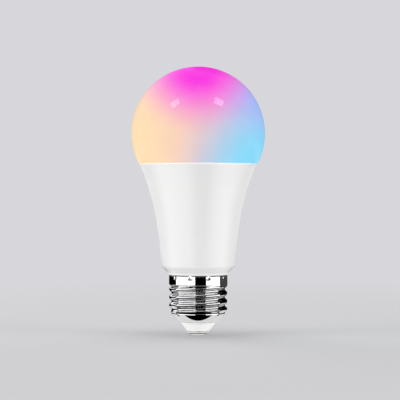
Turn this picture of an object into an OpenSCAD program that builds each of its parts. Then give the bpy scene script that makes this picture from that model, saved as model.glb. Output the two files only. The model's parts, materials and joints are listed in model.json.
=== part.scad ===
// Smart light bulb: an A60 globe on an E27 screw cap, with its light engine, driver and radio inside.
// Millimetres. The origin is the tip of the centre contact, and +Z runs up the axis to the globe's crown.

/* [Bulb] */
// Diameter of the globe
globe_d = 60; // [59:0.5:61]
// Height from the contact's tip to the globe's crown
bulb_h = 120.5; // [119.5:0.5:122]
// Height of the seam between the housing and the diffuser
seam_z = 76.7; // [76:0.1:77]

/* [Housing] */
// Radius of the body just above its foot
foot_r = 16.6; // [16.4:0.1:17]
// Height of the foot's edge, where the taper starts
foot_z = 31.4; // [31:0.1:31.6]
// Radius that the even taper adds from foot to rim
taper_r = 3.7; // [3.5:0.1:4]
// Radius that the flare adds at the rim
flare_r = 6.3; // [6:0.1:6.4]
// How late the flare comes: a higher power keeps the lower body straighter
flare_power = 2.6; // [2.4:0.1:2.8]
// Wall of the plastic housing
housing_wall = 1.3; // [1.2:0.05:1.4]

/* [Screw cap] */
// Radius over the thread's crests
crest_r = 13.1; // [13.03:0.01:13.15]
// Lead of the single-start thread, seven turns to the inch
thread_pitch = 3.629; // [3.62:0.001:3.64]
// Radius of the round crests and roots
knuckle_r = 1.025; // [1.02:0.005:1.03]
// Radius of the plain collar
collar_r = 13.15; // [13.15:0.01:13.2]
// Thickness of the sheet metal
sheet = 0.3; // [0.25:0.01:0.32]
// Number of crimp marks round the collar
crimps = 10; // [8:1:12]

/* [Light engine] */
// Radius of the round light board
led_board_r = 21.6; // [21.2:0.1:21.8]
// Thickness of its aluminium core
led_board_t = 1.2; // [1:0.1:1.3]
// White emitters in the outer ring, half of them warm and half cool
white_leds = 18; // [12:2:20]
// Colour emitters in the inner ring, in red, green and blue threes
colour_leds = 12; // [6:3:15]

/* [Driver] */
// Thickness of the driver board
driver_board_t = 1.2; // [1:0.1:1.2]
// Diameter of the bulk capacitor
bulk_d = 9; // [8:0.5:9]
// Length of the bulk capacitor
bulk_l = 15; // [13:0.5:15]

/* [Hidden] */
$fn = 64;
gap = 0.05;
globe_r = globe_d / 2;
globe_z = bulb_h - globe_r;
globe_wall = 1.4;

// Heights along the axis, from the tip up.
contact_h = 1.95;
shell_edge_z = 5.85;
thread_z0 = 9.6;
thread_z1 = 23.1;
cap_top_z = 27;
sole_z = 28.2;
floor_z = 29.8;
neck_z0 = 11.2;
flange_z = 71;
flange_t = 1;
paste_t = 0.15;
led_board_z = flange_z + paste_t;
mask_t = 0.15;
led_z = led_board_z + led_board_t + mask_t;
socket_z = 72.7;

// Radii of the cap, the neck and the joint at the rim.
root_r = crest_r - 1.096;
shoulder_r = root_r + gap;
lap = 0.3;
crest_z = 15.09;
disc_z = 9;
stem_z = 8.2;
contact_r = 4.75;
stem_r = 1.1;
tip_r = 2.5;
neck_r = 11.6;
neck_bore_r = 10.2;
neck_collar_r = collar_r - sheet - gap;
neck_collar_bore_r = 10.9;
flange_r = 13.4;
foot_hole_r = 12.35;
sole_r = 14.1;
rim_edge_r = 0.5;
spigot_r = 23.6;
spigot_wall = 1.2;
spigot_z0 = socket_z + 0.2;
snap_z = 74.3;
snap_h = 0.4;
sealant_r = 24.65;
sealant_h = 0.8;
cup_wall = 0.9;
cup_z0 = 32.2;
flange_bore_r = 17;

// Inner side of the shell's rolled shoulder, as the three points of a curve.
shoulder_inner = [[7.9, shell_edge_z + 0.25], [10.02, 7.76], [shoulder_r - sheet, thread_z0]];

// Crimp marks: a round punch pressed into the collar, and the bump that it leaves inside.
punch_r = 0.8;
punch_out = 0.4;
crimp_z = 25.8;
crimp_turn = 20.4;

// The driver board stands upright with its tall parts on the front and chips on the back.
board_front = 1;
board_back = board_front + driver_board_t;
board_z0 = 12.6;
board_step_z = 32.4;
board_z1 = 66;
board_neck_x = 8.8;
board_low_x = 12.8;
board_high_x = 16.2;
lead_r = 0.3;
solder_h = 0.8;
wire_r = 0.6;
bare_r = 0.4;
bare_track_r = 11.25;

// Board screws and the LED package.
screw_ring_r = 19.1;
screw_r = 1.25;
screw_head_r = 2.1;
screw_angles = [90, 210, 330];
white_ring_r = 15.2;
colour_ring_r = 10.4;
led_size = [2.8, 3.5, 0.7];
led_window = [2, 2.6];
led_depth = 0.45;
led_terminal_t = 0.1;

// The radio board stands behind the driver board, and its aerial passes up through the light board.
radio_y = 4.2;
radio_t = 0.8;
radio_w = 12;
radio_z0 = 55;
radio_z1 = 80.5;
radio_slot = [12.8, 1.4];
pin_pitch = 2;
pin_w = 0.64;
header_y = -0.1;
header_x = [for (i = [-2:2]) i * pin_pitch];

// Places of the tall parts on the driver board, as [x, z] or as lengths.
fuse_x = -5.2;
fuse_z = [16, 24];
varistor_at = [4.2, 20];
film_x = -9.35;
film_z = 38.5;
bulk_x = 4.8;
bulk_z0 = 34.5;
choke_at = [-8.6, 48.5];
choke_r = 3.25;
transformer_at = [3.2, 57.5];
transformer_y = -5;
output_x = -9;
output_z0 = 52.5;
output_d = 6.3;
output_l = 11;

// Height of the tall parts' seats in front of the board.
seat_y = board_front - 0.6;

// Holes of the straight leads as [x, z, start], then of the bent leads and of the two mains wires as [x, z].
straight_leads = [
  [varistor_at[0] - 0.8, varistor_at[1] - 2.5, -0.37], [varistor_at[0] + 0.8, varistor_at[1] + 2.5, -0.37],
  [film_x, film_z - 2.5, 0.1], [film_x, film_z + 2.5, 0.1],
  [choke_at[0] - 1.5, choke_at[1], seat_y], [choke_at[0] + 1.5, choke_at[1], seat_y],
  for (dx = [-4.1, 4.1], dz = [-3, 3]) [transformer_at[0] + dx, transformer_at[1] + dz, seat_y]
];
fuse_leads = [[fuse_x, fuse_z[0] - 1.8], [fuse_x, fuse_z[1] + 1.8]];
bulk_leads = [for (dx = [-1.3, 1.3]) [bulk_x + dx, bulk_z0 - 1.6]];
output_leads = [for (dx = [-1.2, 1.2]) [output_x + dx, output_z0 + output_l + 1.1]];
mains_holes = [[-6.6, 13.8], [6.6, 13.8]];
header_tail_z = 62.2;
radio_pin_z = 57;
all_holes = concat(
  straight_leads, fuse_leads, bulk_leads, output_leads, mains_holes,
  [for (x = header_x) [x, header_tail_z]],
  [for (x = header_x) [x, radio_pin_z]]
);

// Chips and small parts on the back of the driver board, as [x, z].
chips_at = [[5, 41], [-4.2, 45]];
diodes_at = [[-4, 36.5], [7.5, 48]];
bridge_at = [0, 23.5];
resistors_at = [
  for (x = [-1.4, 1.4], z = [29, 31.2]) [x, z],
  for (x = [0.2, 3.4], z = [46.6, 48.6, 50.6]) [x, z]
];
capacitors_at = [for (z = [40, 43]) [0.6, z], for (z = [38, 41, 44]) [10.6, z]];

// ---- Curves and sweeps ----

// Outer radius of the housing at height z: an even taper plus a late flare.
function housing_r(z) =
  let (t = (z - foot_z) / (seam_z - foot_z))
  foot_r + taper_r * t + flare_r * pow(max(t, 0), flare_power);

// Points of the housing's profile moved inward by d, from height a to height b in n steps.
function housing_curve(a, b, d, n) = [for (i = [0:n]) let (z = a + (b - a) * i / n) [housing_r(z) - d, z]];

// Arc of radius r about [x, z] from angle a to angle b.
function arc(x, z, r, a, b, n = 8) =
  [for (i = [0:n]) let (t = a + (b - a) * i / n) [x + r * cos(t), z + r * sin(t)]];

// Quadratic curve from a to c, pulled towards b.
function curve(a, b, c, n = 8, end = 1) =
  [for (i = [0:n]) let (t = end * i / n) (1 - t) * (1 - t) * a + 2 * t * (1 - t) * b + t * t * c];

// Radius of a round knuckle thread at axial distance u from a crest.
function knuckle(u) =
  let (v = abs(u - thread_pitch * round(u / thread_pitch)))
  v < thread_pitch / 4
  ? crest_r - knuckle_r + sqrt(pow(knuckle_r, 2) - v * v)
  : root_r + knuckle_r - sqrt(pow(knuckle_r, 2) - pow(thread_pitch / 2 - v, 2));

function smooth(t) = let (c = min(max(t, 0), 1)) c * c * (3 - 2 * c);

// How far the thread has grown out of the shoulder, and how far it still is from the collar.
function thread_start(z) = smooth((z - thread_z0 - lap) / 1.6);
function thread_end(z) = smooth((thread_z1 - lap - z) / 0.9);

// Radius of the sheet at height z and angle a, on its outer side or its inner side.
// Both ends of the skin lie inside the metal of the collar and the shoulder.
function thread_r(z, a, inside) =
  let (
    turned = knuckle(z - crest_z - thread_pitch * a / 360),
    started = shoulder_r * (1 - thread_start(z)) + turned * thread_start(z),
    blended = collar_r * (1 - thread_end(z)) + started * thread_end(z),
    thinned = 1 - min(thread_start(z), thread_end(z))
  )
  inside ? blended - sheet + 0.09 * thinned : blended - 0.02 * thinned;

// Point on a smooth path through the points p, at parameter t from 0 to the last index.
function path_point(p, t) =
  let (
    i = min(floor(t), len(p) - 2), f = t - i,
    a = p[max(i - 1, 0)], b = p[i], c = p[i + 1], d = p[min(i + 2, len(p) - 1)]
  )
  0.5 * (2 * b + (c - a) * f + (2 * a - 5 * b + 4 * c - d) * f * f + (3 * b - 3 * c + d - a) * f * f * f);

function unit(v) = v / norm(v);

// Round tube of radius r along a smooth path through the points p.
module tube(p, r) {
  steps = 4;
  sides = 10;
  n = (len(p) - 1) * steps;
  rings = [
    for (i = [0:n])
      let (
        t = i / steps, at = path_point(p, t),
        along = unit(path_point(p, min(t + 0.01, len(p) - 1)) - path_point(p, max(t - 0.01, 0))),
        side = unit(cross(along, [0.12, 1, 0.05])), up = cross(along, side)
      )
      [for (j = [0:sides - 1]) let (a = 360 * j / sides) at + r * (cos(a) * side + sin(a) * up)]
  ];
  skin = [
    for (i = [0:n - 1], j = [0:sides - 1])
      let (k = (j + 1) % sides)
      [i * sides + j, i * sides + k, (i + 1) * sides + k, (i + 1) * sides + j]
  ];
  ends = [[for (j = [sides - 1:-1:0]) j], [for (j = [0:sides - 1]) n * sides + j]];
  polyhedron([for (ring = rings) each ring], concat(skin, ends));
}

module box(low, high) {
  translate(low) cube(high - low);
}

// Cylinder along Y from y0 to y1 at [x, z].
module peg(at, y0, y1, r) {
  translate([at[0], y1, at[1]]) rotate([90, 0, 0]) cylinder(h = y1 - y0, r = r);
}

module crimp_balls(r) {
  for (i = [0:crimps - 1])
    rotate(crimp_turn - 90 + i * 360 / crimps)
      translate([collar_r + punch_out, 0, crimp_z]) sphere(r);
}

// ---- Globe, housing and heat sink ----

// Milky globe with a shelf at the seam, a spigot inside the housing's rim and a snap bead on the spigot.
module diffuser() {
  seam_top = seam_z + 0.15;
  seam_drop = globe_z - seam_top;
  lip_r = sqrt(globe_r * globe_r - seam_drop * seam_drop);
  lip_edge = 0.35;
  shelf_t = 1.25;
  inner_r = globe_r - globe_wall;
  start = -asin((seam_drop - lip_edge) / globe_r);
  shelf_start = -asin((seam_drop - shelf_t) / inner_r);
  color("pink")
    rotate_extrude()
      polygon(concat(
        arc(0, globe_z, globe_r, start, 90, 60),
        arc(0, globe_z, inner_r, 90, shelf_start, 60),
        [[spigot_r - spigot_wall, seam_top + shelf_t], [spigot_r - spigot_wall, spigot_z0]],
        [[spigot_r - 0.3, spigot_z0], [spigot_r, spigot_z0 + 0.4], [spigot_r, snap_z - snap_h]],
        arc(spigot_r, snap_z, snap_h, -90, 90, 6),
        [[spigot_r, seam_top], [lip_r - lip_edge, seam_top]]
      ));
}

// Silicone bead that bonds the diffuser into the housing's rim.
module sealant_ring() {
  color("white")
    rotate_extrude()
      polygon([
        [spigot_r, seam_z - sealant_h], [sealant_r, seam_z - sealant_h],
        [sealant_r, seam_z + 0.15], [spigot_r, seam_z + 0.15]
      ]);
}

// White plastic housing: stepped foot, flared body and the rim that takes the diffuser.
module housing_shell() {
  bore_r = spigot_r + gap;
  inner_foot_r = 14.9;
  color("whitesmoke")
    rotate_extrude()
      polygon(concat(
        [[foot_hole_r, sole_z], [sole_r, sole_z]],
        arc(foot_r - 1.5, foot_z, 1.5, -58, 0),
        housing_curve(foot_z + 0.8, seam_z - rim_edge_r, 0, 44),
        arc(housing_r(seam_z) - rim_edge_r, seam_z - rim_edge_r, rim_edge_r, 20, 90, 5),
        [[sealant_r, seam_z], [sealant_r, seam_z - sealant_h], [bore_r, seam_z - sealant_h]],
        arc(bore_r, snap_z, snap_h + gap, 90, -90, 6),
        [[bore_r, socket_z], [bore_r - 0.7, socket_z], [bore_r - 0.7, flange_z + 0.1]],
        housing_curve(flange_z, cup_z0 - 0.2, housing_wall, 38),
        [[inner_foot_r, foot_z], [inner_foot_r - 1.6, floor_z], [foot_hole_r, floor_z]]
      ));
}

// ---- Cap sleeve ----

// Neck that fits inside the screw cap, a flange that parts the cap from the housing, and a snap-in collar.
module cap_sleeve_profile() {
  hook_r = foot_hole_r + 0.35;
  polygon([
    [neck_bore_r, neck_z0], [neck_r - 0.4, neck_z0], [neck_r, neck_z0 + 0.4], [neck_r, thread_z1],
    [neck_collar_r, thread_z1 + 0.3], [neck_collar_r, cap_top_z + gap],
    [flange_r - 0.15, cap_top_z + gap], [flange_r, cap_top_z + 0.2], [flange_r, sole_z - gap],
    [foot_hole_r - gap, sole_z - gap], [foot_hole_r - gap, floor_z + gap],
    [hook_r, floor_z + gap], [hook_r, floor_z + 0.4], [foot_hole_r - 0.2, floor_z + 1.2],
    [neck_collar_bore_r, floor_z + 1.2], [neck_collar_bore_r, thread_z1 + 0.9],
    [neck_bore_r, thread_z1 - 0.1]
  ]);
}

// Ribs inside the neck that hold the driver board's edges.
module board_rails() {
  rail = 1;
  rail_x = 7.7;
  for (y0 = [board_front - 0.1 - rail, board_back + 0.1])
    difference() {
      intersection() {
        box([-12, y0, neck_z0 + 0.6], [12, y0 + rail, 27.6]);
        cylinder(h = 40, r = neck_bore_r + 0.3);
      }
      box([-rail_x, y0 - 1, neck_z0], [rail_x, y0 + rail + 1, 28]);
    }
}

// White plastic sleeve that carries the screw cap and holds the driver board's tail.
module cap_sleeve() {
  color("white")
    difference() {
      union() {
        rotate_extrude() cap_sleeve_profile();
        board_rails();
      }
      crimp_balls(punch_r + sheet + 0.03);
      box([10.7, -0.6, neck_z0 - 1], [12.5, 0.6, 17.2]);
    }
}

// Drawn aluminium cup that lines the housing and carries the light board on an inward flange.
module heat_sink_cup() {
  skin = housing_wall + gap;
  under = flange_z - flange_t;
  color("silver")
    difference() {
      union() {
        rotate_extrude()
          polygon(concat(
            housing_curve(cup_z0, flange_z, skin, 38),
            [[flange_bore_r, flange_z], [flange_bore_r, under]],
            housing_curve(under, cup_z0, skin + cup_wall, 38)
          ));
        for (a = screw_angles)
          rotate(a) translate([screw_ring_r, 0, under - 1.6]) cylinder(h = 2, r = 1.95);
      }
      for (a = screw_angles)
        rotate(a) translate([screw_ring_r, 0, under - 3]) cylinder(h = 6, r = screw_r + 0.02);
    }
}

// ---- Screw cap ----

// Sheet-metal thread as one closed skin, outside and inside.
module thread_skin() {
  around = 40;
  up = 38;
  z_at = function(i) thread_z0 + (thread_z1 - thread_z0) * i / up;
  ring = function(i, inside)
    [
      for (j = [0:around - 1])
        let (a = 360 * j / around, z = z_at(i), r = thread_r(z, a, inside))
        [r * cos(a), r * sin(a), z]
    ];
  points = concat([for (i = [0:up]) each ring(i, false)], [for (i = [0:up]) each ring(i, true)]);
  inner = around * (up + 1);
  outside = [
    for (i = [0:up - 1], j = [0:around - 1])
      let (k = (j + 1) % around, a = i * around, b = a + around)
      each [[a + j, b + k, a + k], [a + j, b + j, b + k]]
  ];
  inside = [
    for (i = [0:up - 1], j = [0:around - 1])
      let (k = (j + 1) % around, a = inner + i * around, b = a + around)
      each [[a + j, a + k, b + k], [a + j, b + k, b + j]]
  ];
  caps = [
    for (j = [0:around - 1])
      let (k = (j + 1) % around, t = up * around)
      each [[j, k, inner + k, inner + j], [t + j, inner + t + j, inner + t + k, t + k]]
  ];
  polyhedron(points, concat(outside, inside, caps));
}

// Nickel-plated shell: rolled shoulder, round thread and a plain collar crimped to the housing's neck.
module screw_shell() {
  inner_r = collar_r - sheet;
  color("gainsboro") {
    thread_skin();
    difference() {
      translate([0, 0, thread_z1 - lap]) cylinder(h = cap_top_z - thread_z1 + lap, r = collar_r);
      difference() {
        translate([0, 0, thread_z1 - 1]) cylinder(h = 8, r = inner_r);
        crimp_balls(punch_r + sheet);
      }
      crimp_balls(punch_r);
    }
    rotate_extrude()
      polygon(concat(
        curve([8.05, shell_edge_z], [10.25, 7.5], [shoulder_r, thread_z0]),
        [[shoulder_r, thread_z0 + lap], [shoulder_r - sheet, thread_z0 + lap]],
        curve(shoulder_inner[2], shoulder_inner[1], shoulder_inner[0])
      ));
  }
}

// Moulded insulator: the cone under the shell, and the disc that the shell's shoulder grips.
module base_insulator() {
  cone_r0 = 5.35;
  cone_r1 = 7.95;
  waist_r = 7.8;
  disc_r = 10.2;
  well_r = 2.6;
  well_z = 7.4;
  bore_r = stem_r + 0.02;
  grip = [for (p = curve(shoulder_inner[0], shoulder_inner[1], shoulder_inner[2], 8, 0.75)) p + [0, 0.08]];
  color("white")
    rotate_extrude()
      polygon(concat(
        [[bore_r, contact_h], [cone_r0 - 0.15, contact_h], [cone_r0, contact_h + 0.1]],
        [[cone_r1, shell_edge_z - 0.1], [waist_r, shell_edge_z], [waist_r, shell_edge_z + 0.3]],
        grip,
        [[disc_r, disc_z], [well_r, disc_z], [well_r, well_z], [bore_r, well_z]]
      ));
}

// Tip contact: a domed button with a stem up through the insulator.
module centre_contact() {
  color("gainsboro")
    rotate_extrude()
      polygon(concat(
        [[0, 0]],
        curve([tip_r, 0], [4.2, 0.25], [contact_r, 1.45]),
        [[contact_r, contact_h - gap], [stem_r, contact_h - gap], [stem_r, stem_z], [0, stem_z]]
      ));
}

// Solder that joins the live lead to the contact's stem.
module contact_solder() {
  color("silver")
    translate([0, 0, 7.42])
      difference() {
        cylinder(h = 1.9, r1 = 2.2, r2 = 0.8);
        translate([0, 0, -1]) cylinder(h = 1.8, r = stem_r);
      }
}

// Insulated lead from the driver board to the centre contact.
module live_lead() {
  x = mains_holes[0][0];
  color("red")
    tube([
      [x, 0.88, 13.8], [x, 0.1, 13.8], [x, -0.9, 13.2], [-5.4, -1.1, 11.9], [-3.2, -0.7, 11.3],
      [-1.2, -0.2, 11.5], [-0.12, 0, 10.8], [0, 0, 10], [0, 0, 9.34]
    ], wire_r);
}

// Bare lead from the driver board, under the neck's end and up its groove, pinched against the shell.
module neutral_lead() {
  x = mains_holes[1][0];
  color("silver")
    tube([
      [x, 0.86, 13.8], [x, 0.2, 13.7], [x + 0.1, -0.5, 12.9], [7.3, -0.5, 11.4], [8.6, -0.2, 10.5],
      [9.8, 0, 10.2], [10.75, 0, 10.4], [11.2, 0, 11.3], [bare_track_r, 0, 12.6],
      [bare_track_r, 0, 14.6], [bare_track_r, 0, 16.6]
    ], bare_r);
}

// ---- Light engine ----

module thermal_paste() {
  color("lightgray")
    difference() {
      translate([0, 0, flange_z]) cylinder(h = paste_t, r = led_board_r - 0.3);
      translate([0, 0, flange_z - 1]) cylinder(h = 3, r = flange_bore_r + 0.2);
      for (a = screw_angles)
        rotate(a) translate([screw_ring_r, 0, flange_z - 1]) cylinder(h = 3, r = screw_r + 0.2);
    }
}

// Round board outline with its screw holes, pin holes and the slot for the aerial.
module led_board_sheet(z0, t) {
  difference() {
    translate([0, 0, z0]) cylinder(h = t, r = led_board_r);
    for (a = screw_angles)
      rotate(a) translate([screw_ring_r, 0, z0 - 1]) cylinder(h = t + 2, r = screw_r + 0.15);
    for (x = header_x)
      translate([x, header_y, z0 - 1]) cylinder(h = t + 2, r = 0.55);
    translate([-radio_slot[0] / 2, radio_y + radio_t / 2 - radio_slot[1] / 2, z0 - 1])
      cube([radio_slot[0], radio_slot[1], t + 2]);
  }
}

module led_board_core() {
  color("silver") led_board_sheet(led_board_z, led_board_t);
}

module led_board_mask() {
  color("white") led_board_sheet(led_board_z + led_board_t, mask_t);
}

function white_angle(i) = 10 + i * 360 / white_leds;
function colour_angle(i) = 15 + i * 360 / colour_leds;

module all_leds() {
  for (i = [0:white_leds - 1])
    rotate(white_angle(i)) translate([white_ring_r, 0, led_z]) children();
  for (i = [0:colour_leds - 1])
    rotate(colour_angle(i)) translate([colour_ring_r, 0, led_z]) children();
}

// Moulded package on its two terminals, with a window that holds the phosphor or the colour chips.
module led_package() {
  size = [led_size[0], led_size[1]] / 2;
  window = led_window / 2;
  h = led_size[2];
  difference() {
    box([-size[0], -size[1], led_terminal_t], [size[0], size[1], h]);
    box([-window[0], -window[1], h - led_depth], [window[0], window[1], h + 1]);
  }
}

module led_fill() {
  window = led_window / 2;
  h = led_size[2];
  box([-window[0], -window[1], h - led_depth], [window[0], window[1], h - 0.04]);
}

module led_packages() {
  color("ivory") all_leds() led_package();
}

module led_terminals() {
  color("silver")
    all_leds()
      for (side = [-1, 1])
        translate([-1.1, side > 0 ? 0.7 : -1.95, 0]) cube([2.2, 1.25, led_terminal_t]);
}

module warm_phosphors() {
  color("gold")
    for (i = [0:2:white_leds - 1])
      rotate(white_angle(i)) translate([white_ring_r, 0, led_z]) led_fill();
}

module cool_phosphors() {
  color("khaki")
    for (i = [1:2:white_leds - 1])
      rotate(white_angle(i)) translate([white_ring_r, 0, led_z]) led_fill();
}

module colour_fills(first) {
  for (i = [first:3:colour_leds - 1])
    rotate(colour_angle(i)) translate([colour_ring_r, 0, led_z]) led_fill();
}

module red_emitters() {
  color("red") colour_fills(0);
}

module green_emitters() {
  color("lime") colour_fills(1);
}

module blue_emitters() {
  color("blue") colour_fills(2);
}

// Pan-head screws with a cross recess, threaded into the heat sink's bosses.
module board_screws() {
  head_h = 1.3;
  color("silver")
    for (a = screw_angles)
      rotate(a) translate([screw_ring_r, 0, led_z]) {
        difference() {
          cylinder(h = head_h, r1 = screw_head_r, r2 = screw_head_r - 0.6);
          for (turn = [0, 90]) rotate(turn) translate([-1.1, -0.25, head_h - 0.7]) cube([2.2, 0.5, 1]);
        }
        translate([0, 0, -4]) cylinder(h = 4.1, r = screw_r - 0.02);
      }
}

// ---- Driver ----

// Upright board: a narrow tail in the neck, and a body that widens with the housing.
module driver_board() {
  color("seagreen")
    difference() {
      translate([0, board_back, 0])
        rotate([90, 0, 0])
          linear_extrude(driver_board_t)
            polygon([
              [-board_neck_x, board_z0], [board_neck_x, board_z0], [board_neck_x, board_step_z],
              [board_low_x, board_step_z], [board_high_x, board_z1], [-board_high_x, board_z1],
              [-board_low_x, board_step_z], [-board_neck_x, board_step_z]
            ]);
      for (at = all_holes) peg(at, board_front - 1, board_back + 1, lead_r + 0.05);
    }
}

// Lead that leaves a lying part along Z at height y and turns into the board at [x, z].
module bent_lead(at, y, z_end) {
  low = min(at[1], z_end);
  translate([at[0], y, low]) cylinder(h = abs(z_end - at[1]), r = lead_r);
  translate([at[0], y, at[1]]) sphere(lead_r);
  peg(at, y, board_back + solder_h, lead_r);
}

module component_leads() {
  bulk_y = board_front - 0.4 - bulk_d / 2;
  output_y = board_front - 0.4 - output_d / 2;
  color("silver") {
    for (at = straight_leads) peg(at, at[2], board_back + solder_h, lead_r);
    for (i = [0, 1]) bent_lead(fuse_leads[i], -0.75, fuse_z[i]);
    for (at = bulk_leads) bent_lead(at, bulk_y, bulk_z0);
    for (at = output_leads) bent_lead(at, output_y, output_z0 + output_l);
    for (at = mains_holes) peg(at, 0.9, board_back + solder_h, lead_r);
  }
}

// Solder cones on the back of the driver board.
module solder_joints() {
  soldered = concat(straight_leads, fuse_leads, bulk_leads, output_leads, mains_holes);
  color("silver")
    for (at = soldered)
      translate([at[0], board_back, at[1]])
        rotate([-90, 0, 0])
          difference() {
            cylinder(h = solder_h, r1 = 0.85, r2 = 0.42);
            translate([0, 0, -1]) cylinder(h = 3, r = lead_r);
          }
}

// Wirewound fusible resistor in the live line.
module fuse_resistor() {
  color("tan")
    translate([fuse_x, -0.75, fuse_z[0]]) {
      cylinder(h = fuse_z[1] - fuse_z[0], r = 1.05);
      for (z = [0, fuse_z[1] - fuse_z[0] - 1.6]) translate([0, 0, z]) cylinder(h = 1.6, r = 1.25);
    }
}

// Heat-shrink sleeve over the fusible resistor.
module fuse_sleeve() {
  color("dimgray")
    translate([fuse_x, -0.75, fuse_z[0] + 0.2])
      difference() {
        cylinder(h = fuse_z[1] - fuse_z[0] - 0.4, r = 1.55);
        translate([0, 0, -1]) cylinder(h = 12, r = 1.28);
      }
}

// Disc varistor standing on edge, with a rounded coating.
module varistor() {
  r = 3.5;
  t = 3;
  edge = 0.9;
  color("royalblue")
    translate([varistor_at[0], seat_y - r, varistor_at[1]])
      rotate([0, 90, 0])
        rotate_extrude()
          polygon(concat(
            [[0, -t / 2]], arc(r - edge, edge - t / 2, edge, -90, 0),
            arc(r - edge, t / 2 - edge, edge, 0, 90), [[0, t / 2]]
          ));
}

module film_capacitor() {
  color("firebrick")
    difference() {
      box([film_x - 2.25, -6.4, film_z - 4.5], [film_x + 2.25, seat_y, film_z + 4.5]);
      box([film_x - 1.75, 0.1, film_z - 4], [film_x + 1.75, 1, film_z + 4]);
    }
}

// Aluminium can of a lying electrolytic capacitor, open at its lead end, with a groove and a vent cross.
module can(x, z0, d, l, flip = false) {
  y = board_front - 0.4 - d / 2;
  wall = 0.25;
  r = d / 2 - 0.15;
  groove = l - 1.6;
  translate([x, y, z0 + (flip ? 0 : l)])
    rotate([flip ? 0 : 180, 0, 0])
      difference() {
        rotate_extrude()
          polygon(concat(
            [[0, 0]], arc(r - 0.5, 0.5, 0.5, -90, 0, 5),
            [[r, groove - 0.4]], arc(r + 0.1, groove, 0.4, -106, -254, 6), [[r, groove + 0.4], [r, l]],
            [[r - wall, l], [r - wall, groove + 0.6]], arc(r - wall + 0.1, groove, 0.55, 110, 250, 6),
            [[r - wall, groove - 0.6]],
            [[r - wall, wall], [0, wall]]
          ));
        for (turn = [0, 90]) rotate(turn) translate([-r * 0.55, -0.12, -0.5]) cube([r * 1.1, 0.24, 0.6]);
      }
}

// Plastic sleeve shrunk over the can and into its groove.
module can_sleeve(x, z0, d, l, flip = false) {
  y = board_front - 0.4 - d / 2;
  r = d / 2;
  groove = l - 1.6;
  translate([x, y, z0 + (flip ? 0 : l)])
    rotate([flip ? 0 : 180, 0, 0])
      rotate_extrude()
        polygon(concat(
          [[r - 0.13, 0.5], [r, 0.5]], arc(r - 0.05, groove, 0.25, -78, -282, 6), [[r, l]],
          [[r - 0.13, l]], arc(r - 0.05, groove, 0.38, 102, 258, 6)
        ));
}

// Rubber bung that closes the can round its two leads.
module can_bung(x, z0, d, l, pins, flip = false) {
  y = board_front - 0.4 - d / 2;
  r = d / 2 - 0.45;
  h = 1;
  z = flip ? z0 + l - h : z0;
  color("dimgray")
    difference() {
      translate([x, y, z]) cylinder(h = h, r = r);
      for (at = pins) translate([at[0], y, z0 - 2]) cylinder(h = l + 4, r = lead_r);
    }
}

module bulk_capacitor_can() {
  color("silver") can(bulk_x, bulk_z0, bulk_d, bulk_l);
}

module bulk_capacitor_sleeve() {
  color("darkslategray") can_sleeve(bulk_x, bulk_z0, bulk_d, bulk_l);
}

module bulk_capacitor_bung() {
  can_bung(bulk_x, bulk_z0, bulk_d, bulk_l, bulk_leads);
}

module output_capacitor_can() {
  color("silver") can(output_x, output_z0, output_d, output_l, true);
}

module output_capacitor_sleeve() {
  color("midnightblue") can_sleeve(output_x, output_z0, output_d, output_l, true);
}

module output_capacitor_bung() {
  can_bung(output_x, output_z0, output_d, output_l, output_leads, true);
}

// Drum core on its two leads.
module choke_core() {
  h = 7.4;
  rim = 1.2;
  drum_r = 1.6;
  color("dimgray")
    translate([choke_at[0], seat_y, choke_at[1]])
      rotate([90, 0, 0])
        rotate_extrude()
          polygon([
            [0, 0], [choke_r, 0], [choke_r, rim], [drum_r, rim + 0.4],
            [drum_r, h - rim - 0.4], [choke_r, h - rim], [choke_r, h], [0, h]
          ]);
}

// Copper wound between the drum's flanges, layer on layer.
module choke_winding() {
  turns = 10;
  low = 1.75;
  high = 5.65;
  step = (high - low) / turns;
  r = 2.7;
  color("chocolate")
    translate([choke_at[0], seat_y, choke_at[1]])
      rotate([90, 0, 0])
        rotate_extrude()
          polygon(concat(
            [[1.62, low]],
            [for (i = [0:turns - 1]) each arc(r, low + (i + 0.5) * step, step / 2, -90, 90, 4)],
            [[1.62, high]]
          ));
}

// Two E-shaped ferrite halves that meet inside the bobbin.
module transformer_core() {
  half = 6.4;
  back = 1.4;
  leg = 4.6;
  reach = 6.3;
  lapped = half - 0.5;
  color("dimgray")
    translate([transformer_at[0], transformer_y, transformer_at[1]]) {
      for (x = [-half, half - back]) box([x, -leg / 2, -reach], [x + back, leg / 2, reach]);
      for (z = [-reach, reach - back]) box([-lapped, -leg / 2, z], [lapped, leg / 2, z + back]);
      box([-lapped, -leg / 2, -1.2], [lapped, leg / 2, 1.2]);
    }
}

// Bobbin with two flanges, a square tube round the core's centre leg and feet for the pins.
module transformer_bobbin() {
  color("black")
    translate([transformer_at[0], transformer_y, transformer_at[1]])
      difference() {
        union() {
          for (x = [-4.6, 3.6]) box([x, -4.4, -4.2], [x + 1, 5.4, 4.2]);
          box([-4, -2.8, -1.7], [4, 2.8, 1.7]);
        }
        box([-7, -2.35, -1.25], [7, 2.35, 1.25]);
      }
}

// Windings under their outer tape, with rounded corners.
module transformer_winding() {
  wound_l = 7.1;
  tube_y = 2.85;
  tube_z = 1.75;
  wound_y = 3.9;
  wound_z = 4;
  r = 1.6;
  color("gold")
    translate([transformer_at[0] - wound_l / 2, transformer_y, transformer_at[1]])
      rotate([90, 0, 90])
        linear_extrude(wound_l)
          difference() {
            polygon(concat(
              arc(wound_y - r, wound_z - r, r, 0, 90, 6), arc(r - wound_y, wound_z - r, r, 90, 180, 6),
              arc(r - wound_y, r - wound_z, r, 180, 270, 6), arc(wound_y - r, r - wound_z, r, 270, 360, 6)
            ));
            square([2 * tube_y, 2 * tube_z], center = true);
          }
}

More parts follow.
